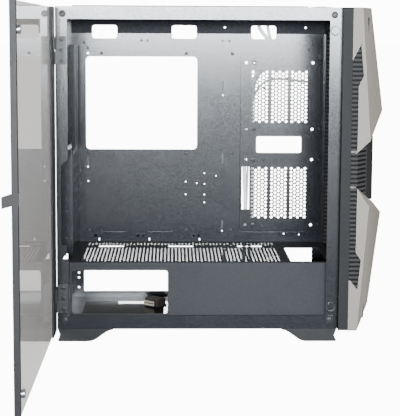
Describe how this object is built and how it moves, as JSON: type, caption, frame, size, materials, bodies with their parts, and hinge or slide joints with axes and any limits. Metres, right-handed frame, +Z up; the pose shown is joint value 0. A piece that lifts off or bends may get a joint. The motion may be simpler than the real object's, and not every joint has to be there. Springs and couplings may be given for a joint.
{
  "type": "desktop computer tower",
  "caption": "Empty steel computer tower with a hinged glass side door held open, angular front, cable tray, shrouded lower bay and moulded feet.",
  "frame": {"origin": "centre of the whole outline, door included, at floor level under the feet", "axes": "+Z up, the tower's front faces -Y, its glass door is on the -X side and swings open from the rear edge"},
  "size_m": [0.6304, 0.4954, 0.4887],
  "materials": {
    "body_paint": "satin dark grey powder coat, slightly rough",
    "black_screw": "black screw coating, semi-gloss",
    "zinc": "bright plated steel",
    "hinge_paint": "black coating, satin",
    "dark_plastic": "dark grey moulded plastic, fine texture",
    "black_plastic": "black moulded plastic, satin",
    "silver_plastic": "warm silver-grey painted plastic, satin",
    "filter_mesh": "fine black filter mesh in a thin frame",
    "cable_sheath": "black cable sheath, dull",
    "plug_plastic": "black-brown moulded plug body, satin",
    "door_glass": "clear toughened glass, very slightly grey",
    "strap": "black woven strap"
  },
  "bodies": {
    "case": {"top_panel": "body_paint", "bottom_panel": "body_paint", "rear_panel": "body_paint", "front_frame": "body_paint", "motherboard_tray": "body_paint", "psu_shroud": "body_paint", "side_fan_plate": "body_paint", "slot_retainer": "body_paint", "slot_cover_1": "body_paint", "slot_cover_2": "body_paint", "slot_cover_3": "body_paint", "slot_cover_4": "body_paint", "slot_cover_5": "body_paint", "slot_cover_6": "body_paint", "slot_cover_7": "body_paint", "corner_screw_top_rear": "black_screw", "corner_screw_top_front": "black_screw", "corner_screw_bottom_rear": "black_screw", "corner_screw_bottom_front": "black_screw", "hinge_screw_upper_1": "black_screw", "hinge_screw_upper_2": "black_screw", "hinge_screw_upper_3": "black_screw", "hinge_screw_lower_1": "black_screw", "hinge_screw_lower_2": "black_screw", "hinge_screw_lower_3": "black_screw", "slot_thumbscrew": "zinc", "catch_magnet_upper": "zinc", "catch_magnet_lower": "zinc", "case_hinge_upper": "hinge_paint", "case_hinge_lower": "hinge_paint", "bezel_frame": "dark_plastic", "front_spine": "dark_plastic", "front_core": "black_plastic", "io_housing": "black_plastic", "foot_rear_left": "black_plastic", "foot_rear_right": "black_plastic", "foot_front_left": "black_plastic", "foot_front_right": "black_plastic", "upper_wing_left": "silver_plastic", "upper_wing_right": "silver_plastic", "lower_wing_left": "silver_plastic", "lower_wing_right": "silver_plastic", "top_filter": "filter_mesh", "usb_cable": "cable_sheath", "audio_cable": "cable_sheath", "lead_cable": "cable_sheath", "usb_plug": "plug_plastic", "audio_plug": "plug_plastic", "lead_plug": "plug_plastic"},
    "door": {"door_glass": "door_glass", "door_edge_bar": "black_plastic", "door_hinge_strip": "black_plastic", "door_hinge_upper": "hinge_paint", "door_hinge_lower": "hinge_paint", "door_stud_upper": "zinc", "door_stud_lower": "zinc", "pull_tab": "strap"},
    "power_key": {"power_button": "black_plastic"},
    "reset_key": {"reset_button": "black_plastic"},
    "lower_filter": {"psu_filter": "filter_mesh"}
  },
  "joints": [
    {"name": "door_swing", "type": "hinge", "parent": "case", "child": "door", "pos_m": [0.0937, 0.23265, 0.2444], "axis": [0, 0, 1], "range_deg": [-15, 90]},
    {"name": "power_press", "type": "slide", "parent": "case", "child": "power_key", "axis": [0, 0, -1], "range_m": [0, 0.0015], "stiffness_N_per_m": 1200, "springref_m": -0.0006},
    {"name": "reset_press", "type": "slide", "parent": "case", "child": "reset_key", "axis": [0, 0, -1], "range_m": [0, 0.0015], "stiffness_N_per_m": 900, "springref_m": -0.0006},
    {"name": "lower_filter_slide", "type": "slide", "parent": "case", "child": "lower_filter", "axis": [0, 1, 0], "range_m": [0, 0.156]}
  ]
}
